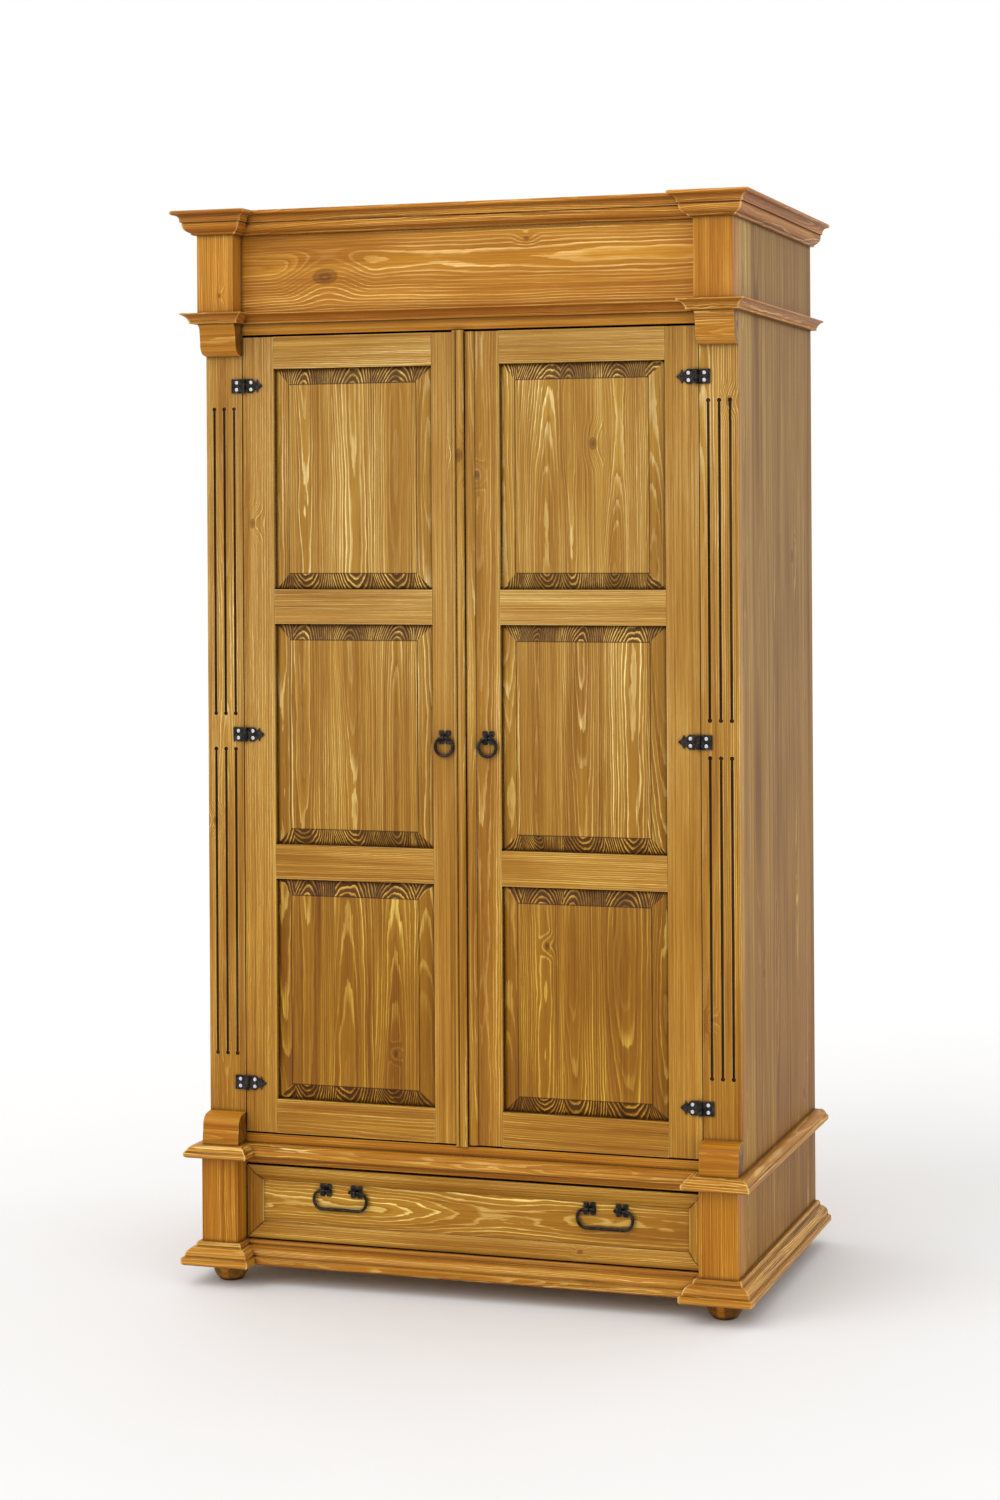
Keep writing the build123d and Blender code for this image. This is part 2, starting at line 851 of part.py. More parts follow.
frame_leaves = []
frame_screws = []
pins = []
for name, side in (("left", -1), ("right", 1)):
    door_leaves = []
    door_screws = []
    for height in hinge_heights:
        frame_leaves.append(knuckle_leaf(side, height, False))
        door_leaves.append(knuckle_leaf(side, height, True))
        for sign in (-1, 1):
            screw_z = height + sign * hinge_screw_spacing / 2
            seat_y = front_y - hinge_plate
            frame_screws.append(screw(side * (hinge_x + hinge_screw_from_pin), screw_z, seat_y))
            door_screws.append(screw(side * (hinge_x - hinge_screw_from_pin), screw_z, seat_y))
        with BuildPart() as pin:
            with Locations((side * hinge_x, hinge_y, height)):
                Cylinder(pin_radius, hinge_height)
        pins.append(pin.part)
    finish(Compound(children=door_leaves), f"{name}_door_hinge_leaves")
    finish(Compound(children=door_screws), f"{name}_door_hinge_screws")
finish(Compound(children=frame_leaves), "frame_hinge_leaves")
finish(Compound(children=frame_screws), "frame_hinge_screws")
finish(Compound(children=pins), "hinge_pins")


# ================================================================ ring pulls and bail pulls
def butterfly_plate(x, z, plane_y, width, height):
    """A cast rosette of four lobes with the eye that carries the pull standing on it."""
    with BuildPart() as plate:
        with BuildSketch(Plane.XZ.offset(-plane_y)):
            with Locations((x, z)):
                Rectangle(width * 0.40, height * 0.44)
                with GridLocations(width * 0.56, height * 0.62, 2, 2):
                    RectangleRounded(width * 0.44, height * 0.38, lobe_round)
        extrude(amount=plate_thickness)
        with BuildSketch(Plane.XY.offset(z)):
            with Locations((x, plane_y - pivot_proud - eye_radius)):
                Circle(eye_wire)
        revolve(axis=Axis((x, plane_y - pivot_proud, z), (1, 0, 0)))
    return plate.part


for name, side in (("left", -1), ("right", 1)):
    pull_x = side * pull_from_meeting
    pull_plate = butterfly_plate(pull_x, ring_pivot_height, front_y, *ring_plate)
    finish(pull_plate, f"{name}_pull_plate")
    with BuildPart() as pull_ring:
        with Locations(
            Location((pull_x, ring_y, ring_pivot_height - ring_radius), (90, 0, 0))
        ):
            Torus(ring_radius, pull_wire)
    finish(pull_ring.part, f"{name}_pull_ring")

drawer_field_y = front_y + drawer_frame_thickness
bail_plates = []
for name, side in (("left", -1), ("right", 1)):
    centre_x = side * bail_from_centre
    for post in (-1, 1):
        post_x = centre_x + post * bail_post_spacing / 2
        bail_plates.append(butterfly_plate(post_x, bail_pivot_height, drawer_field_y, *bail_plate))
    pivot_y = drawer_field_y - pivot_proud
    tail_end = bail_post_spacing / 2 - bail_tail
    wide = bail_half_width
    pivot = Plane(
        origin=(centre_x, pivot_y, bail_pivot_height), x_dir=(1, 0, 0), z_dir=(0, -1, 0)
    )
    shoulder = (wide - bail_shoulder, 0)
    shoulder_bend = (wide - 3.5, -5.5)
    upright = (wide, -bail_side_height)
    corner_bend = (wide - 5, -29)
    foot = (wide - bail_corner, -bail_drop)
    with BuildPart() as bail:
        with BuildLine(pivot) as path:
            Line((-tail_end, 0), (-shoulder[0], shoulder[1]))
            ThreePointArc(
                (-shoulder[0], shoulder[1]),
                (-shoulder_bend[0], shoulder_bend[1]),
                (-upright[0], upright[1]),
            )
            ThreePointArc((-upright[0], upright[1]), (-corner_bend[0], corner_bend[1]), (-foot[0], foot[1]))
            Line((-foot[0], foot[1]), foot)
            ThreePointArc(foot, corner_bend, upright)
            ThreePointArc(upright, shoulder_bend, shoulder)
            Line(shoulder, (tail_end, 0))
        with BuildSketch(Plane(origin=path.line @ 0, z_dir=path.line % 0)):
            Circle(pull_wire)
        sweep(transition=Transition.ROUND)
        with Locations(path.line @ 0, path.line @ 1):
            Sphere(bail_ball)
    finish(bail.part, f"{name}_bail")
finish(Compound(children=bail_plates), "bail_plates")


# ================================================================ drawer
half_drawer = half_opening - drawer_side_gap
drawer_panel_y = (drawer_field_y, drawer_field_y + drawer_front_thickness)
drawer_panel = board((-half_drawer, half_drawer), drawer_panel_y, (drawer_bottom, drawer_top))
finish(drawer_panel, "drawer_front")


def drawer_frame_outline():
    """A flat band that falls in a bevel to the field, as distance in and distance back."""
    with BuildSketch() as outline:
        with BuildLine():
            Polyline(
                (0, 0),
                (drawer_frame_flat, 0),
                (drawer_frame_flat + 1.5, 1.5),
                (drawer_frame_width, drawer_frame_thickness - drawer_frame_quirk),
                (drawer_frame_width, drawer_frame_thickness),
                (0, drawer_frame_thickness),
                close=True,
            )
        make_face()
    return outline.sketch


frame_corners = [
    Vector(-half_drawer, front_y, drawer_bottom),
    Vector(half_drawer, front_y, drawer_bottom),
    Vector(half_drawer, front_y, drawer_top),
    Vector(-half_drawer, front_y, drawer_top),
]
frame_lengths = []
for index, start in enumerate(frame_corners):
    end = frame_corners[(index + 1) % 4]
    after = (frame_corners[(index + 2) % 4] - end).normalized()
    before = (start - frame_corners[index - 1]).normalized()
    heading = (end - start).normalized()
    inward = Vector(-heading.Z, 0, heading.X)
    with BuildPart() as frame_length:
        with BuildSketch(Plane(start, x_dir=inward, z_dir=-heading)):
            add(drawer_frame_outline())
        extrude(amount=-(end - start).length)
        first_mitre = Plane(start, z_dir=before + heading)
        split(bisect_by=first_mitre.offset(mitre_gap / 2), keep=Keep.TOP)
        last_mitre = Plane(end, z_dir=heading + after)
        split(bisect_by=last_mitre.offset(-mitre_gap / 2), keep=Keep.BOTTOM)
    frame_lengths.append(frame_length.part)
finish(Compound(children=frame_lengths), "drawer_front_frame")

box_low = drawer_bottom + drawer_box_rise
runner_top = box_low - runner_play
box_limits_z = (box_low, waist_rail_bottom - drawer_box_headroom)
box_outer = half_drawer - drawer_box_inset
box_inner = box_outer - drawer_box_thickness
box_y = (drawer_panel_y[1], board_front_y - drawer_back_gap)
bottom_z = (box_low + drawer_bottom_rise, box_low + drawer_bottom_rise + drawer_bottom_thickness)
slot = drawer_box_thickness / 2

for name, side in (("left", -1), ("right", 1)):
    with BuildPart() as drawer_side:
        add(board(span(side, box_inner, box_outer), box_y, box_limits_z))
        add(board(span(side, box_inner, box_inner + slot), box_y, bottom_z), mode=Mode.SUBTRACT)
    finish(drawer_side.part, f"drawer_{name}_side")

drawer_back = board(
    (-box_inner, box_inner),
    (box_y[1] - drawer_box_thickness, box_y[1]),
    (bottom_z[1], box_limits_z[1] - drawer_bottom_rise),
)
finish(drawer_back, "drawer_back")

drawer_floor = board(
    (-box_inner - slot + panel_play, box_inner + slot - panel_play), box_y, bottom_z
)
finish(drawer_floor, "drawer_bottom")

with BuildPart() as drawer_runners:
    for side in (-1, 1):
        runner_y = (drawer_panel_y[1] + runner_setback, board_front_y)
        add(board(span(side, box_inner - runner_overlap, half_inside), runner_y, (base_top, runner_top)))
        add(
            board(
                span(side, box_outer + guide_play, half_inside),
                runner_y,
                (runner_top, runner_top + guide_height),
            )
        )
finish(drawer_runners.part, "drawer_runners")
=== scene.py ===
"""Looks of a two-door pine wardrobe: stained, brushed and waxed pine with black forged hardware.

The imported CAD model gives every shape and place, in metres. The boards keep their CAD meshes and
get softened edges and a solid-wood material whose growth rings run through each board.
"""

import math

import bpy
from mathutils import Euler, Matrix, Vector

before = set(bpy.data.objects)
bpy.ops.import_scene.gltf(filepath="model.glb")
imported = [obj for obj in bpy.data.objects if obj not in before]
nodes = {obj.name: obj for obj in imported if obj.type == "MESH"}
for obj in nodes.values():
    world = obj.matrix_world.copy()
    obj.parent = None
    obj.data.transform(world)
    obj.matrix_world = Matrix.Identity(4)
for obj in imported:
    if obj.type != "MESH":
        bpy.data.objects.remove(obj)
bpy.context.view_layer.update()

BOARD_EDGE = 0.0011
HARDWARE_EDGE = 0.0003
SHARP_ANGLE = math.radians(28)
FIELD_ANGLE = math.radians(9)
PANEL_TONGUE = 0.0085
PANEL_BEVEL = 0.030
FLUTE_DEPTH = 0.006
FLUTES_HALF_WIDTH = 0.028
# How far the dark wax and painted shade reach out of corners, on boards and on mouldings.
WAX_AND_SHADE_REACH = 0.008
MOULDING_WAX_AND_SHADE_REACH = 0.012
RIDGE_REACH = 0.003


# ---------------------------------------------------------------- node-tree helper
class Tree:
    """Short ways to add and join shader or geometry nodes."""

    def __init__(self, tree):
        self.tree = tree

    def node(self, kind, **settings):
        made = self.tree.nodes.new(kind)
        for name, value in settings.items():
            setattr(made, name, value)
        return made

    def put(self, socket, value):
        if isinstance(value, bpy.types.NodeSocket):
            self.tree.links.new(value, socket)
        else:
            socket.default_value = value

    def math(self, operation, a, b=0.0, c=0.0, clamp=False):
        made = self.node("ShaderNodeMath", operation=operation, use_clamp=clamp)
        for socket, value in zip(made.inputs, (a, b, c)):
            self.put(socket, value)
        return made.outputs[0]

    def vector(self, operation, a, b=(0.0, 0.0, 0.0), scale=1.0):
        made = self.node("ShaderNodeVectorMath", operation=operation)
        self.put(made.inputs[0], a)
        if operation == "SCALE":
            self.put(made.inputs["Scale"], scale)
        else:
            self.put(made.inputs[1], b)
        return made.outputs["Value" if operation in ("LENGTH", "DOT_PRODUCT") else "Vector"]

    def combine(self, x, y, z):
        made = self.node("ShaderNodeCombineXYZ")
        for socket, value in zip(made.inputs, (x, y, z)):
            self.put(socket, value)
        return made.outputs[0]

    def split(self, value):
        made = self.node("ShaderNodeSeparateXYZ")
        self.put(made.inputs[0], value)
        return made.outputs

    def noise(self, vector, scale, detail=2.0, roughness=0.5):
        made = self.node("ShaderNodeTexNoise")
        self.put(made.inputs["Vector"], vector)
        self.put(made.inputs["Scale"], scale)
        self.put(made.inputs["Detail"], detail)
        self.put(made.inputs["Roughness"], roughness)
        return made.outputs["Fac"]

    def centred(self, value, amount, base):
        """Adds a number of 0 to 1 to base, as amount times its distance from one half."""
        return self.math("MULTIPLY_ADD", self.math("SUBTRACT", value, 0.5), amount, base)

    def random(self, number):
        """Three random numbers from one number."""
        made = self.node("ShaderNodeTexWhiteNoise", noise_dimensions="1D")
        self.put(made.inputs["W"], number)
        return self.split(made.outputs["Color"])

    def ramp(self, value, low, high, to_low=0.0, to_high=1.0):
        """A smooth step of value between low and high."""
        made = self.node("ShaderNodeMapRange", interpolation_type="SMOOTHSTEP")
        for name, given in (
            ("Value", value), ("From Min", low), ("From Max", high),
            ("To Min", to_low), ("To Max", to_high),
        ):
            self.put(made.inputs[name], given)
        return made.outputs[0]

    def mix(self, share, a, b, blend="MIX"):
        made = self.node("ShaderNodeMix", data_type="RGBA", blend_type=blend)
        self.put(made.inputs["Factor"], share)
        for socket, value in ((made.inputs[6], a), (made.inputs[7], b)):
            if not isinstance(value, bpy.types.NodeSocket):
                value = (*value, 1.0)
            self.put(socket, value)
        return made.outputs[2]


def new_material(name):
    material = bpy.data.materials.new(name)
    material.use_nodes = True
    tree = Tree(material.node_tree)
    shader = material.node_tree.nodes["Principled BSDF"]
    return material, tree, shader


def add_relief(g, shader, height, strength, distance):
    """Bumps a surface by height."""
    bump = g.node("ShaderNodeBump")
    g.put(bump.inputs["Height"], height)
    bump.inputs["Strength"].default_value = strength
    bump.inputs["Distance"].default_value = distance
    g.put(shader.inputs["Normal"], bump.outputs[0])


def linear(red, green, blue):
    """A colour given as sRGB steps of 0 to 255, in linear light."""
    return tuple(((v / 255 + 0.055) / 1.055) ** 2.4 for v in (red, green, blue))


# ---------------------------------------------------------------- board coordinates
def board_group(name, sharp_angle):
    """Welds a CAD mesh, clears its normals, and stores each board's own coordinates.

    The attribute wood holds the distance across, through and along the grain from the board's
    middle, half the board's size along the same three ways, grain the grain's direction, and
    board a number of its own.
    """
    tree = bpy.data.node_groups.new(name, "GeometryNodeTree")
    tree.interface.new_socket("Geometry", in_out="INPUT", socket_type="NodeSocketGeometry")
    tree.interface.new_socket("Geometry", in_out="OUTPUT", socket_type="NodeSocketGeometry")
    g = Tree(tree)
    source = g.node("NodeGroupInput").outputs[0]

    weld = g.node("GeometryNodeMergeByDistance")
    g.put(weld.inputs["Geometry"], source)
    g.put(weld.inputs["Distance"], 0.00002)
    clear = g.node("GeometryNodeRemoveAttribute")
    g.put(clear.inputs["Geometry"], weld.outputs[0])
    g.put(clear.inputs["Name"], "custom_normal")
    smooth = g.node("GeometryNodeSetShadeSmooth", domain="FACE")
    g.put(smooth.inputs["Geometry"], clear.outputs[0])
    g.put(smooth.inputs["Shade Smooth"], True)
    angle = g.node("GeometryNodeInputMeshEdgeAngle").outputs["Unsigned Angle"]
    crease = g.node("GeometryNodeSetShadeSmooth", domain="EDGE")
    g.put(crease.inputs["Geometry"], smooth.outputs[0])
    g.put(crease.inputs["Selection"], g.math("GREATER_THAN", angle, sharp_angle))
    g.put(crease.inputs["Shade Smooth"], False)

    island = g.node("GeometryNodeInputMeshIsland").outputs["Island Index"]
    position = g.node("GeometryNodeInputPosition").outputs[0]
    limits = g.node("GeometryNodeFieldMinAndMax", data_type="FLOAT_VECTOR", domain="POINT")
    g.put(limits.inputs["Value"], position)
    g.put(limits.inputs["Group ID"], island)
    low, high = limits.outputs["Min"], limits.outputs["Max"]
    middle = g.vector("SCALE", g.vector("ADD", low, high), scale=0.5)
    place = g.split(g.vector("SUBTRACT", position, middle))
    size = g.split(g.vector("SUBTRACT", high, low))

    def longest(a, b, c):
        return g.math(
            "MULTIPLY",
            g.math("GREATER_THAN", size[a], size[b]),
            g.math("GREATER_THAN", size[a], size[c]),
        )

    along_x, along_y = longest(0, 1, 2), longest(1, 0, 2)
    along_z = g.math("SUBTRACT", 1.0, g.math("ADD", along_x, along_y))
    grain = g.combine(along_x, along_y, along_z)
    # Across and through are the two other axes, the larger one first.
    layout = (
        (along_x, (1, 2), 0),
        (along_y, (0, 2), 1),
        (along_z, (0, 1), 2),
    )

    def turned(parts):
        """The three parts in the order across, through, along."""
        across = through = along = 0.0
        for share, (first, second), axis in layout:
            wide = g.math("GREATER_THAN", size[first], size[second])
            swap = g.math("MULTIPLY", wide, g.math("SUBTRACT", parts[first], parts[second]))
            wider = g.math("ADD", parts[second], swap)
            thinner = g.math("SUBTRACT", parts[first], swap)
            across = g.math("MULTIPLY_ADD", share, wider, across)
            through = g.math("MULTIPLY_ADD", share, thinner, through)
            along = g.math("MULTIPLY_ADD", share, parts[axis], along)
        return g.combine(across, through, along)

    shape = crease.outputs[0]
    for name, kind, value in (
        ("wood", "FLOAT_VECTOR", turned(place)),
        ("half", "FLOAT_VECTOR", g.vector("SCALE", turned(size), scale=0.5)),
        ("grain", "FLOAT_VECTOR", grain),
        ("board", "FLOAT", g.math("MULTIPLY", island, 1.0)),
    ):
        store = g.node("GeometryNodeStoreNamedAttribute", data_type=kind, domain="POINT")
        g.put(store.inputs["Geometry"], shape)
        g.put(store.inputs["Name"], name)
        g.put(store.inputs["Value"], value)
        shape = store.outputs[0]
    g.put(g.node("NodeGroupOutput").inputs[0], shape)
    return tree


def soften(piece, group, width, angle=SHARP_ANGLE, segments=2):
    """Board coordinates and small rounded edges, as modifiers on a CAD node."""
    piece.modifiers.new("board_coordinates", "NODES").node_group = group
    bevel = piece.modifiers.new("soft_edges", "BEVEL")
    bevel.width = width
    bevel.segments = segments
    bevel.limit_method = "ANGLE"
    bevel.angle_limit = angle
    bevel.harden_normals = True
    bevel.use_clamp_overlap = True


# ---------------------------------------------------------------- pine
# Stained earlywood, bright latewood, dark wax in the hollows (also the tone of the painted shade
# there), and stained end grain.
TONES = {
    "door": (linear(160, 112, 38), linear(236, 204, 136), linear(42, 20, 3), linear(84, 42, 4)),
    "frieze": (linear(174, 112, 28), linear(238, 190, 116), linear(42, 19, 3), linear(86, 42, 4)),
    "moulding": (linear(176, 112, 28), linear(240, 196, 122), linear(40, 17, 2), linear(84, 40, 3)),
    "panel": (linear(160, 112, 38), linear(234, 200, 128), linear(42, 20, 3), linear(80, 48, 4)),
    "side": (linear(143, 98, 34), linear(186, 144, 76), linear(58, 34, 8), linear(92, 58, 14)),
    "inner": (linear(184, 138, 76), linear(204, 164, 104), linear(112, 72, 34), linear(156, 108, 54)),
}
END_BRIGHT = linear(224, 170, 78)
HEART_TONE = linear(118, 68, 14)
KNOT_TONE = linear(84, 40, 10)
# Each kind's tint near the floor and near the top, blended between these two heights.
TINT_HEIGHTS = (0.5, 1.4)
TINTS = {
    "door": ((1.00, 0.94, 0.60), (1.06, 1.12, 1.28)),
    "frieze": ((0.98, 0.97, 0.55), (1.08, 1.15, 1.20)),
    "moulding": ((1.04, 1.12, 0.95), (1.02, 0.96, 0.75)),
    "panel": ((0.76, 0.66, 0.24), (1.03, 1.10, 1.25)),
    "side": ((1.04, 1.04, 0.62), (1.06, 1.22, 1.50)),
}


def board_inputs(g, seed, strip):
    """Where a point is in its board or glued strip, with numbers that are that strip's own."""
    wood = g.split(g.node("ShaderNodeAttribute", attribute_name="wood").outputs["Vector"])
    board = g.node("ShaderNodeAttribute", attribute_name="board").outputs["Fac"]
    across = wood[0]
    number = g.math("MULTIPLY_ADD", board, 7.31, seed * 3.17 + 0.5)
    if strip:
        index = g.math("ROUND", g.math("DIVIDE", across, strip))
        across = g.math("MULTIPLY_ADD", index, -strip, across)
        number = g.math("MULTIPLY_ADD", index, 1.93, number)
    return (across, wood[1], wood[2]), wood, number


def fibre_field(g, place, shift):
    """Returns a function that gives noise drawn out along the grain."""

    def fibre(across_scale, along_scale, detail=2.0, roughness=0.5):
        stretched = g.vector("MULTIPLY", place, (across_scale, across_scale, along_scale))
        return g.noise(g.vector("ADD", stretched, shift), 1.0, detail, roughness)

    return fibre


def add_knots(g, wood, radius, ripple, knots):
    """Bends the rings round each knot and returns them with the knots' dark cores."""
    cores = 0.0
    board = g.node("ShaderNodeAttribute", attribute_name="board").outputs["Fac"]
    for index, across, along, size in knots:
        beside = g.math("SUBTRACT", wood[0], across)
        above = g.math("MULTIPLY", g.math("SUBTRACT", wood[2], along), 0.62)
        other = g.math("ABSOLUTE", g.math("SUBTRACT", board, float(index)))
        away = g.vector("LENGTH", g.combine(beside, above, other))
        away = g.centred(ripple, size * 0.9, away)
        near = g.ramp(away, size * 5.0, size * 0.6, 0.0, 1.0)
        radius = g.math("MULTIPLY_ADD", near, size * 1.6, radius)
        core = g.ramp(away, size * 1.2, size * 0.8, 0.0, 1.0)
        rings = g.math("SINE", g.math("MULTIPLY", away, 7.0 / size))
        core = g.math("MULTIPLY", core, g.math("MULTIPLY_ADD", rings, 0.18, 0.80))
        cores = g.math("MAXIMUM", core, cores)
    return radius, cores


def rings_of(g, radius, spacing, number):
    """The place within a ring, bright latewood lines thin and wide, and a tone for each ring."""
    turns = g.math("DIVIDE", radius, spacing)
    part = g.math("FRACT", turns)
    own = g.random(g.math("MULTIPLY_ADD", number, 0.71, g.math("FLOOR", turns)))
    start = g.math("MULTIPLY_ADD", own[0], 0.30, 0.42)
    late = g.math("MULTIPLY", g.ramp(part, start, 0.84), g.ramp(part, 0.94, 1.0, 1.0, 0.0))
    late = g.math("MULTIPLY", late, g.math("MULTIPLY_ADD", own[1], 0.75, 0.25))
    wide = g.math("MULTIPLY", g.ramp(part, 0.46, 0.88), g.ramp(part, 0.93, 1.0, 1.0, 0.0))
    return part, late, wide, own[2]


class Board:
    """One board's or glued strip's own coordinates, random numbers and noises."""

    def __init__(self, g, seed, strip):
        (across, through, along), self.wood, self.number = board_inputs(g, seed, strip)
        self.across, self.through, self.along = across, through, along
        self.first = g.random(self.number)
        self.second = g.random(g.math("ADD", self.number, 0.37))
        shift = g.vector("SCALE", g.combine(*self.first), scale=9.0)
        fibre = fibre_field(g, g.combine(across, through, along), shift)
        # From broad to fine: the pith's wander, waves in the rings, and their ragged edges.
        self.wander = fibre(3.0, 1.3, 1.0)
        self.ripple = fibre(24.0, 5.0)
        self.wave = fibre(70.0, 13.0)
        self.tremor = fibre(420.0, 40.0, 3.0)
        # From fine to broad: fibres, streaks of stain, bands and clouds.
        self.fine = fibre(1100.0, 16.0, 3.0, 0.65)
        self.streak = fibre(300.0, 2.5, 3.0, 0.6)
        self.band = fibre(55.0, 1.6)
        self.cloud = fibre(9.0, 2.2)


def ring_radius(g, board, pith, figure):
    """The distance of a point from the board's pith line, before its knots."""
    first, second = board.first, board.second
    side = g.math("SIGN", g.math("SUBTRACT", second[0], 0.5))
    aside = g.math("MULTIPLY", side, g.ramp(first[0], 0.0, 1.0, *pith[0]))
    depth = g.ramp(second[1], 0.0, 1.0, *pith[1])
    lean = g.centred(second[2], 0.04 * figure, 0.0)
    depth = g.math("MULTIPLY_ADD", board.along, lean, depth)
    depth = g.centred(board.wander, 0.06 * figure, depth)
    aside = g.centred(board.wander, 0.05 * figure, aside)
    offset = g.math("SUBTRACT", board.across, aside)
    radius = g.vector("LENGTH", g.combine(offset, g.math("ADD", board.through, depth), 0.0))
    radius = g.centred(board.ripple, 0.0095 * figure, radius)
    radius = g.centred(board.wave, 0.0012 + 0.0018 * figure, radius)
    return g.centred(board.tremor, 0.0012, radius)


def fade_figure(g, board, late, clear):
    """Latewood that fades away in streaks and clouds, more so in plain boards."""
    patch = g.ramp(board.streak, 0.30, 0.60, 0.20 + 0.45 * clear, 1.0)
    patch = g.math("MULTIPLY", patch, g.ramp(board.cloud, 0.38, 0.60, 0.30, 1.0))
    return g.math("MULTIPLY", late, g.math("MULTIPLY", patch, 0.35 + 0.65 * clear))


def dark_hearts(g, ring_tone, part, clear):
    """Some rings have a dark inner edge."""
    core = g.math("MULTIPLY", g.ramp(ring_tone, 0.62, 0.80), g.ramp(part, 0.02, 0.40, 0.85, 0.0))
    return g.math("MULTIPLY", core, 0.55 * clear)


def stain_shades(g, board, ring_tone, clear, kind):
    """Uneven stain: pale wood is less yellow, dark wood redder."""
    shade = 1.0
    for value, amount in (
        (board.fine, 0.75), (board.streak, 0.85), (board.band, 0.60), (board.cloud, 0.55),
        (ring_tone, 0.10 + 0.26 * clear), (board.second[2], 0.34 if kind == "side" else 0.16),
    ):
        shade = g.centred(value, amount, shade)
    return g.combine(shade, g.math("POWER", shade, 1.45), g.math("POWER", shade, 2.1))


def soak_ends(g, board, colour, shades, wide, normal, end_tone):
    """End grain and the sloping ends of raised panels soak up more stain."""
    grain = g.node("ShaderNodeAttribute", attribute_name="grain").outputs["Vector"]
    facing = g.math("ABSOLUTE", g.vector("DOT_PRODUCT", normal, grain))
    cut = g.ramp(facing, 0.10, 0.30)
    mottle = g.ramp(g.math("ADD", board.band, board.cloud), 0.80, 1.20, 0.30, 0.95)
    soaked = g.mix(g.math("MULTIPLY", wide, mottle), end_tone, END_BRIGHT)
    soaked = g.mix(1.0, soaked, shades, "MULTIPLY")
    return g.mix(g.math("MULTIPLY", cut, 0.95), colour, soaked)


def wax_and_shade_in_corners(g, board, name, kind):
    """How much dark wax and painted shade lie in corners and joints, in a panel's field line and in
    flutes.
    """
    corner = g.node("ShaderNodeAmbientOcclusion", samples=4)
    g.put(corner.inputs["Distance"], MOULDING_WAX_AND_SHADE_REACH if kind == "moulding" else WAX_AND_SHADE_REACH)
    # Painted shade from ambient occlusion, darkest deep in corners, together with dark wax there.
    wax_and_shade = g.ramp(corner.outputs["AO"], 0.42, 0.96, 1.0, 0.0)
    wax_and_shade = g.math("MULTIPLY", wax_and_shade, g.ramp(board.band, 0.3, 0.7, 0.75, 1.0))
    if "door_panels" in name:
        wax_and_shade = g.math("MAXIMUM", wax_and_shade, field_line_wax_and_shade(g, board.wood, board.tremor))
    if "front_stile" in name:
        wax_and_shade = g.math("MAXIMUM", wax_and_shade, flute_wax_and_shade(g, board.wood, board.band))
    return wax_and_shade


def shade_and_streak_moulding(g, board, colour, normal):
    """Paints shade on a moulding's undersides, and darkens streaks of stain along it."""
    # Painted shade on faces that point downwards, stronger in some streaks.
    painted_under_shade = g.math("MULTIPLY", g.split(normal)[2], -1.0)
    under_shade_strength = g.ramp(board.streak, 0.3, 0.7, 0.40, 0.75)
    painted_under_shade = g.math("MULTIPLY", g.ramp(painted_under_shade, 0.10, 0.95), under_shade_strength)
    share = g.ramp(board.cloud, 0.40, 0.58, 0.12, 0.85)
    stripe = g.math("MULTIPLY", g.ramp(board.streak, 0.52, 0.62), share)
    # One brown for both the painted underside shade and the stain streaks.
    return g.mix(g.math("MAXIMUM", painted_under_shade, stripe), colour, linear(104, 52, 6))


def wear_and_highlight_ridges(g, board, colour, bright):
    """Lightens the outer edges here and there: rubbed-off stain, and a painted highlight along them.
    """
    ridge = g.node("ShaderNodeAmbientOcclusion", samples=4, inside=True)
    ridge.inputs["Distance"].default_value = RIDGE_REACH
    # Outer edges found by ambient occlusion get lighter: rubbed stain and a painted highlight.
    worn_and_lit = g.ramp(ridge.outputs["AO"], 0.25, 0.75, 1.0, 0.0)
    worn_and_lit = g.math("MULTIPLY", worn_and_lit, g.ramp(board.ripple, 0.42, 0.60, 0.10, 0.75))
    return g.mix(worn_and_lit, colour, bright)


def wax_gloss(g, shader, board, late, wax_and_shade, kind):
    """A satin wax finish over brushed grain."""
    rough = g.centred(board.fine, 0.25, 0.46)
    rough = g.math("MULTIPLY_ADD", late, -0.08, rough)
    g.put(shader.inputs["Roughness"], g.math("MULTIPLY_ADD", wax_and_shade, 0.15, rough))
    shader.inputs["Specular IOR Level"].default_value = 0.08 if kind == "side" else 0.16
    height = g.math("MULTIPLY_ADD", late, 0.6, g.math("MULTIPLY", board.fine, 0.5))
    add_relief(g, shader, height, 0.4, 0.0004)


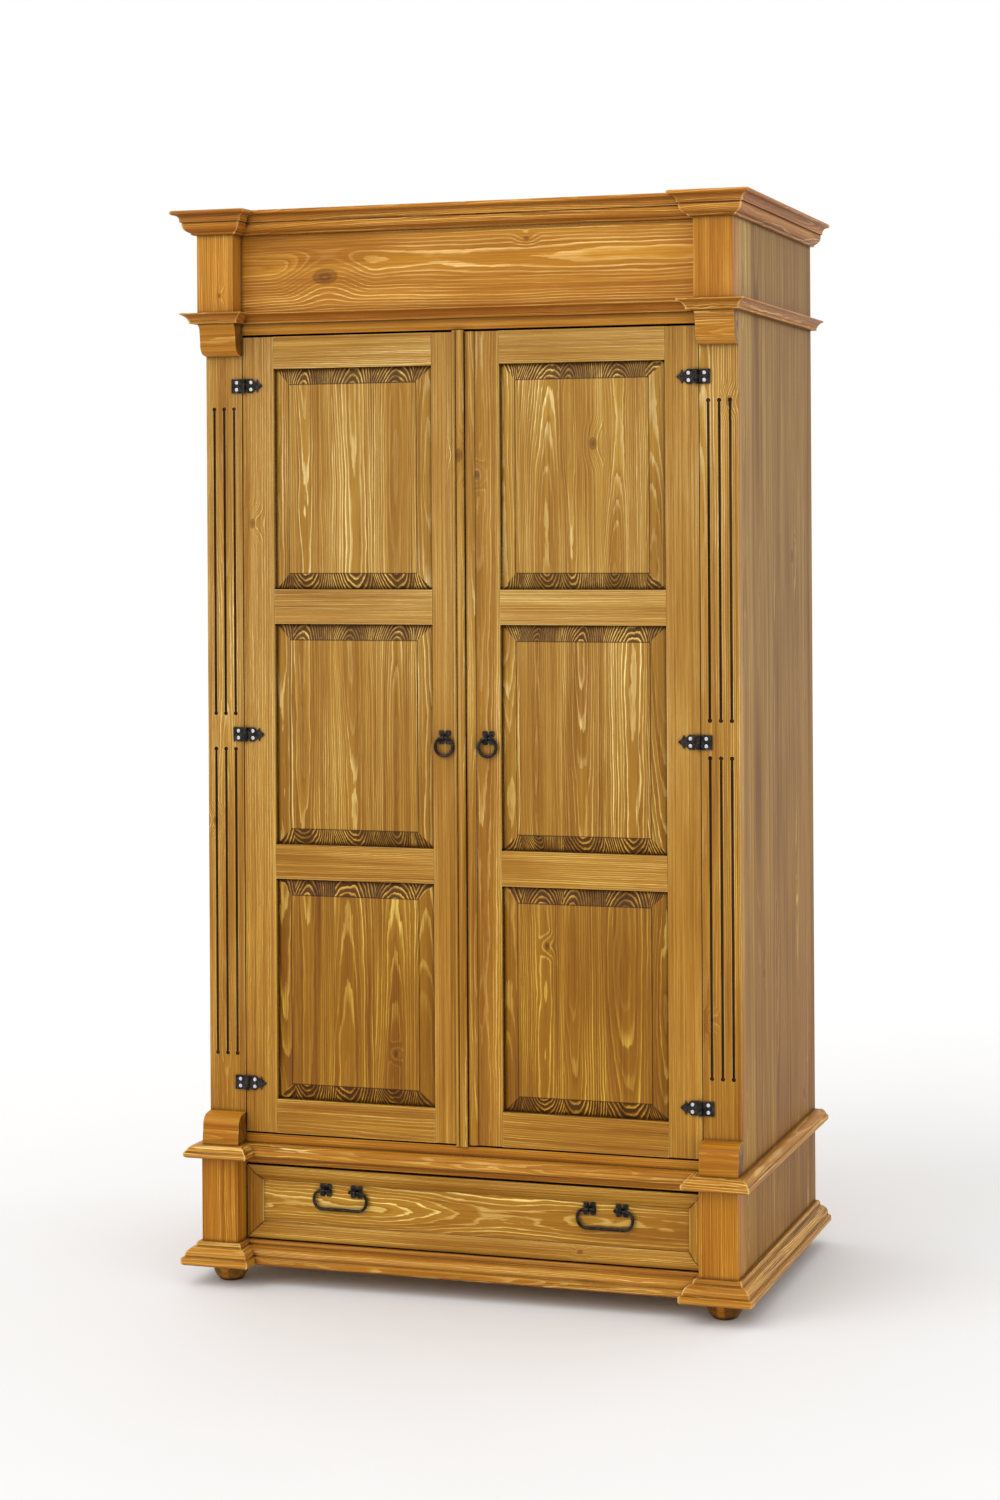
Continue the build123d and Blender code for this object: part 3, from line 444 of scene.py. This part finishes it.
def pine(name, kind, seed, strip, spacing, pith, figure, knots=()):
    """Solid pine. Rings are tubes round a pith line that leans and wanders along the board.

    strip is the width of the glued strips in a wide board, spacing the rings' thickness, pith the
    pith line's least and greatest distance to the side and in depth, figure how far it wanders,
    and knots are (board, across, along, radius).
    """
    stain, bright, wax, end_tone = TONES[kind]
    clear = min(1.0, figure)
    material, g, shader = new_material(name)
    board = Board(g, seed, strip)
    spot = g.node("ShaderNodeTexCoord")
    normal = spot.outputs["Normal"]

    radius = ring_radius(g, board, pith, figure)
    radius, cores = add_knots(g, board.wood, radius, board.ripple, knots)
    ring_size = g.math("MULTIPLY_ADD", board.first[1], spacing * 0.5, spacing * 0.75)
    part, late, wide, ring_tone = rings_of(g, radius, ring_size, board.number)
    late = fade_figure(g, board, late, clear)

    earlywood = g.mix(dark_hearts(g, ring_tone, part, clear), stain, HEART_TONE)
    shades = stain_shades(g, board, ring_tone, clear, kind)
    colour = g.mix(1.0, g.mix(late, earlywood, bright), shades, "MULTIPLY")
    colour = soak_ends(g, board, colour, shades, wide, normal, end_tone)
    colour = g.mix(g.math("MULTIPLY", cores, 0.72), colour, KNOT_TONE)
    if kind in TINTS:
        level = g.ramp(g.split(spot.outputs["Object"])[2], *TINT_HEIGHTS)
        colour = g.mix(1.0, colour, g.mix(level, *TINTS[kind]), "MULTIPLY")
    # Painted shade under mouldings, and streaks of stain along them.
    if kind == "moulding":
        colour = shade_and_streak_moulding(g, board, colour, normal)
    # Mixes in the dark wax tone: dark wax and painted shade in corners, joints and hollows.
    wax_and_shade = wax_and_shade_in_corners(g, board, name, kind)
    colour = g.mix(wax_and_shade, colour, wax)
    # Lighter outer edges: rubbed-off stain and a painted highlight.
    if kind != "inner":
        colour = wear_and_highlight_ridges(g, board, colour, bright)
    g.put(shader.inputs["Base Color"], colour)
    wax_gloss(g, shader, board, late, wax_and_shade, kind)
    return material


def field_line_wax_and_shade(g, wood, tremor):
    """Dark wax and painted shade in the thin line where a raised panel's bevels meet its field."""
    half = g.split(g.node("ShaderNodeAttribute", attribute_name="half").outputs["Vector"])
    gaps = [
        g.math("ADD", g.math("SUBTRACT", g.math("ABSOLUTE", wood[axis]), half[axis]),
               PANEL_TONGUE + PANEL_BEVEL)
        for axis in (0, 2)
    ]
    gap = g.math("ABSOLUTE", g.math("MAXIMUM", *gaps))
    gap = g.centred(tremor, 0.0012, gap)
    front = g.math("LESS_THAN", wood[1], 0.0)
    # Painted shade and dark wax along the field line, on the front face only.
    return g.math("MULTIPLY", front, g.ramp(gap, 0.0001, 0.0018, 0.80, 0.0))


def flute_wax_and_shade(g, wood, band):
    """Dark wax and painted shade in the flutes of a front stile, all but black at the bottom."""
    half = g.split(g.node("ShaderNodeAttribute", attribute_name="half").outputs["Vector"])
    sunk = g.math("ADD", wood[1], half[1])
    inside = g.ramp(sunk, 0.0003, 0.0022)
    inside = g.math("MULTIPLY", inside, g.ramp(sunk, FLUTE_DEPTH, FLUTE_DEPTH + 0.001, 1.0, 0.0))
    beside = g.math("ABSOLUTE", wood[0])
    near = g.ramp(beside, FLUTES_HALF_WIDTH - 0.001, FLUTES_HALF_WIDTH + 0.001, 1.0, 0.0)
    inside = g.math("MULTIPLY", inside, near)
    # Painted shade and dark wax, strongest deep in the flutes.
    return g.math("MULTIPLY", inside, g.ramp(band, 0.3, 0.7, 0.80, 1.0))


# ---------------------------------------------------------------- metals and plastic
def forged_iron():
    """Black waxed iron: hammer dimples with painted glints on their facets, and brown-grey edges,
    partly metal where hands rub it and partly a painted highlight.
    """
    material, g, shader = new_material("forged_iron_black")
    place = g.node("ShaderNodeTexCoord").outputs["Object"]
    dents = g.node("ShaderNodeTexVoronoi", feature="SMOOTH_F1")
    g.put(dents.inputs["Vector"], place)
    dents.inputs["Scale"].default_value = 260.0
    grit = g.noise(place, 1500.0, 3.0, 0.65)
    patch = g.noise(place, 90.0, 3.0, 0.6)
    edge = g.node("ShaderNodeAmbientOcclusion", samples=4, inside=True)
    edge.inputs["Distance"].default_value = 0.0012
    # Brown-grey edges: rubbed metal and a painted highlight.
    worn_and_lit = g.ramp(edge.outputs["AO"], 0.25, 0.62, 1.0, 0.0)
    worn_and_lit = g.math("MULTIPLY", worn_and_lit, g.ramp(patch, 0.35, 0.62))
    base = g.mix(g.ramp(patch, 0.4, 0.65), linear(12, 12, 14), linear(50, 44, 40))
    # Painted glints: lighter grey on the hammer facets.
    painted_glint = g.ramp(dents.outputs["Distance"], 0.30, 0.05, 0.0, 0.35)
    base = g.mix(painted_glint, base, linear(112, 108, 108))
    colour = g.mix(g.math("MULTIPLY", worn_and_lit, 0.80), base, linear(150, 132, 112))
    g.put(shader.inputs["Base Color"], colour)
    shader.inputs["Metallic"].default_value = 0.65
    g.put(shader.inputs["Roughness"], g.math("MULTIPLY_ADD", grit, 0.30, 0.20))
    height = g.math("MULTIPLY_ADD", grit, 0.15, dents.outputs["Distance"])
    add_relief(g, shader, height, 0.8, 0.0012)
    return material


def bright_metal(name, tone, roughness, streak_scale):
    """Plated steel with fine scratches and dull spots."""
    material, g, shader = new_material(name)
    place = g.node("ShaderNodeTexCoord").outputs["Object"]
    scratch = g.noise(g.vector("MULTIPLY", place, streak_scale), 1.0, 3.0, 0.6)
    dull = g.noise(place, 400.0, 3.0, 0.6)
    colour = g.mix(g.ramp(dull, 0.45, 0.7), tone, tuple(v * 0.55 for v in tone))
    g.put(shader.inputs["Base Color"], colour)
    shader.inputs["Metallic"].default_value = 1.0
    g.put(shader.inputs["Roughness"], g.math("MULTIPLY_ADD", scratch, 0.25, roughness))
    add_relief(g, shader, scratch, 0.2, 0.0002)
    return material


def moulded_plastic():
    """Brown moulded plastic with a fine spark-eroded grain."""
    material, g, shader = new_material("catch_plastic_brown")
    place = g.node("ShaderNodeTexCoord").outputs["Object"]
    grain = g.noise(place, 2600.0, 2.0)
    cloud = g.noise(place, 60.0, 2.0)
    g.put(shader.inputs["Base Color"], g.mix(cloud, linear(74, 46, 26), linear(96, 62, 36)))
    g.put(shader.inputs["Roughness"], g.math("MULTIPLY_ADD", grain, 0.2, 0.42))
    add_relief(g, shader, grain, 0.3, 0.0002)
    return material


# ---------------------------------------------------------------- materials on the CAD nodes
def clothe(piece, material):
    """Puts one material in every slot of a CAD node."""
    for slot in piece.material_slots:
        slot.material = material


IRON = (
    "frame_hinge_leaves", "left_door_hinge_leaves", "right_door_hinge_leaves", "hinge_pins",
    "left_pull_plate", "right_pull_plate", "left_pull_ring", "right_pull_ring",
    "left_bail", "right_bail", "bail_plates",
)
ZINC = (
    "frame_hinge_screws", "left_door_hinge_screws", "right_door_hinge_screws",
    "left_strike_plate", "right_strike_plate", "rail_sockets",
)
FLAT = ((0.00, 0.02), (0.03, 0.05))
HEART = ((0.00, 0.018), (0.024, 0.044))
MIXED = ((0.00, 0.07), (0.03, 0.06))
RIFT = ((0.05, 0.10), (0.03, 0.08))
EDGE = ((0.10, 0.16), (0.02, 0.05))
# Kind of pine, width of glued strips, ring spacing, how it was sawn and strength of figure.
BOARDS = {
    "left_side_panel": ("side", 0.086, 0.0030, MIXED, 0.7),
    "right_side_panel": ("side", 0.086, 0.0030, MIXED, 0.7),
    "top_panel": ("frieze", 0.11, 0.0028, MIXED, 1.0),
    "back_boards": ("inner", 0.0, 0.0030, MIXED, 1.0),
    "wardrobe_floor": ("inner", 0.10, 0.0030, MIXED, 1.0),
    "base_panel": ("inner", 0.10, 0.0030, MIXED, 1.0),
    "hat_shelf": ("inner", 0.10, 0.0030, MIXED, 1.0),
    "shelf_cleats": ("inner", 0.0, 0.0030, RIFT, 1.0),
    "drawer_runners": ("inner", 0.0, 0.0030, RIFT, 1.0),
    "drawer_left_side": ("inner", 0.0, 0.0030, MIXED, 1.0),
    "drawer_right_side": ("inner", 0.0, 0.0030, MIXED, 1.0),
    "drawer_back": ("inner", 0.0, 0.0030, MIXED, 1.0),
    "drawer_bottom": ("inner", 0.12, 0.0030, MIXED, 1.0),
    "frieze_board": ("frieze", 0.0, 0.0040, FLAT, 0.8),
    "head_rail": ("frieze", 0.0, 0.0022, EDGE, 0.3),
    "waist_rail": ("frieze", 0.0, 0.0026, MIXED, 0.8),
    "crown_moulding": ("moulding", 0.0, 0.0026, RIFT, 0.9),
    "architrave_moulding": ("moulding", 0.0, 0.0026, RIFT, 0.9),
    "waist_moulding": ("moulding", 0.0, 0.0028, MIXED, 1.0),
    "plinth_moulding": ("moulding", 0.0, 0.0028, MIXED, 1.0),
    "left_frieze_block": ("frieze", 0.0, 0.0026, RIFT, 0.5),
    "right_frieze_block": ("frieze", 0.0, 0.0024, EDGE, 0.4),
    "left_base_block": ("frieze", 0.0, 0.0026, RIFT, 0.5),
    "right_base_block": ("frieze", 0.0, 0.0026, RIFT, 0.5),
    "left_front_stile": ("door", 0.0, 0.0026, MIXED, 0.5),
    "right_front_stile": ("door", 0.0, 0.0026, MIXED, 0.5),
    "upper_corbels": ("frieze", 0.0, 0.0030, FLAT, 0.6),
    "lower_corbels": ("frieze", 0.0, 0.0030, FLAT, 0.6),
    "feet": ("frieze", 0.0, 0.0030, FLAT, 0.6),
    "drawer_front": ("door", 0.0, 0.0038, FLAT, 1.2),
    "drawer_front_frame": ("door", 0.0, 0.0026, RIFT, 0.5),
    "left_door_hinge_stile": ("door", 0.0, 0.0024, RIFT, 0.4),
    "right_door_hinge_stile": ("door", 0.0, 0.0024, RIFT, 0.4),
    "left_door_meeting_stile": ("door", 0.0, 0.0024, RIFT, 0.4),
    "right_door_meeting_stile": ("door", 0.0, 0.0034, FLAT, 0.7),
    "left_door_cover_strip": ("door", 0.0, 0.0024, RIFT, 0.4),
    "right_door_edge_bead": ("door", 0.0, 0.0024, RIFT, 0.4),
    "left_door_rails": ("door", 0.0, 0.0026, RIFT, 0.5),
    "right_door_rails": ("door", 0.0, 0.0026, RIFT, 0.5),
    "left_door_panels": ("panel", 0.080, 0.0034, HEART, 0.9),
    "right_door_panels": ("panel", 0.080, 0.0034, HEART, 0.9),
}
# Knots in a node, as the board's number, the place across and along it, and the radius.
KNOTS = {
    "frieze_board": ((0, -0.022, -0.273, 0.013), (0, 0.036, 0.12, 0.004)),
    "left_frieze_block": ((0, 0.009, -0.053, 0.0032),),
    "right_door_panels": ((2, 0.022, 0.058, 0.007), (0, -0.07, 0.10, 0.004)),
    "left_door_panels": ((0, 0.08, -0.11, 0.004),),
    "left_door_cover_strip": ((0, 0.002, 0.517, 0.008),),
    "left_door_meeting_stile": ((0, 0.022, 0.520, 0.006),),
    "left_door_hinge_stile": ((0, -0.012, 0.395, 0.006),),
    "right_door_meeting_stile": ((0, -0.010, 0.480, 0.005),),
    "right_front_stile": ((0, 0.018, 0.62, 0.005), (0, -0.02, -0.48, 0.004)),
    "left_front_stile": ((0, -0.022, -0.15, 0.005),),
    "right_side_panel": ((0, 0.11, 0.34, 0.008), (0, -0.14, -0.42, 0.006), (0, 0.19, -0.70, 0.005)),
    "left_side_panel": ((0, 0.06, 0.45, 0.008), (0, -0.17, -0.18, 0.006)),
    "drawer_front_frame": ((0, 0.003, 0.21, 0.004),),
}


def dress_boards():
    curved = board_group("board_coordinates", SHARP_ANGLE)
    flat = board_group("fielded_board_coordinates", FIELD_ANGLE)
    for seed, (name, (kind, strip, spacing, pith, figure)) in enumerate(BOARDS.items()):
        material = pine(f"pine_{name}", kind, seed, strip, spacing, pith, figure, KNOTS.get(name, ()))
        if name.endswith("door_panels") or name == "drawer_front_frame":
            soften(nodes[name], flat, BOARD_EDGE, FIELD_ANGLE)
        else:
            soften(nodes[name], curved, BOARD_EDGE)
        clothe(nodes[name], material)
    iron = forged_iron()
    for name in IRON:
        soften(nodes[name], curved, HARDWARE_EDGE)
        clothe(nodes[name], iron)
    zinc = bright_metal("zinc_plate", (0.74, 0.74, 0.76), 0.22, (900, 900, 900))
    for name in ZINC:
        soften(nodes[name], curved, HARDWARE_EDGE / 2)
        clothe(nodes[name], zinc)
    rail = bright_metal("rail_chrome", (0.80, 0.80, 0.82), 0.10, (30, 900, 900))
    soften(nodes["hanging_rail"], curved, HARDWARE_EDGE)
    clothe(nodes["hanging_rail"], rail)
    soften(nodes["door_catches"], curved, HARDWARE_EDGE)
    clothe(nodes["door_catches"], moulded_plastic())


# ---------------------------------------------------------------- stage, light and camera
def stage_floor():
    """A broad pale floor."""
    bpy.ops.mesh.primitive_plane_add(size=60, location=(0, 0, 0))
    floor = bpy.context.object
    floor.name = "studio_floor"
    material, g, shader = new_material("studio_floor_paint")
    place = g.node("ShaderNodeTexCoord").outputs["Object"]
    tone = g.noise(place, 3.0, 3.0)
    g.put(shader.inputs["Base Color"], g.mix(tone, (0.86, 0.86, 0.86), (0.88, 0.88, 0.88)))
    g.put(shader.inputs["Roughness"], g.math("MULTIPLY_ADD", tone, 0.1, 0.75))
    floor.data.materials.append(material)


def sun_light(name, towards, strength, spread):
    """A broad far light, given by the direction from the object to it."""
    lamp = bpy.data.lights.new(name, "SUN")
    lamp.energy = strength
    lamp.angle = math.radians(spread)
    holder = bpy.data.objects.new(name, lamp)
    bpy.context.scene.collection.objects.link(holder)
    holder.rotation_euler = Vector(towards).to_track_quat("Z", "Y").to_euler()


def studio_light():
    """A white surround with a soft key light from the front left."""
    world = bpy.data.worlds.new("studio")
    world.use_nodes = True
    world.node_tree.nodes["Background"].inputs["Color"].default_value = (1.0, 1.0, 1.0, 1.0)
    world.node_tree.nodes["Background"].inputs["Strength"].default_value = 1.0
    bpy.context.scene.world = world
    sun_light("key", (-0.45, -0.75, 0.75), 0.9, 50)


def photo_camera():
    """The camera stands a little to the right, at chest height."""
    data = bpy.data.cameras.new("camera")
    camera = bpy.data.objects.new("camera", data)
    bpy.context.scene.collection.objects.link(camera)
    data.sensor_width = 36.0
    data.lens = 69.25
    data.shift_x = -0.0229
    data.shift_y = -0.1499
    camera.location = (1.7268, -5.2433, 1.4116)
    facing = Euler((math.radians(90), 0, math.radians(17.747))).to_matrix()
    roll = Matrix.Rotation(math.radians(-0.331), 3, "Z")
    camera.rotation_euler = (facing @ roll).to_euler()
    bpy.context.scene.camera = camera
    bpy.context.scene.view_settings.view_transform = "Standard"


dress_boards()
stage_floor()
studio_light()
photo_camera()
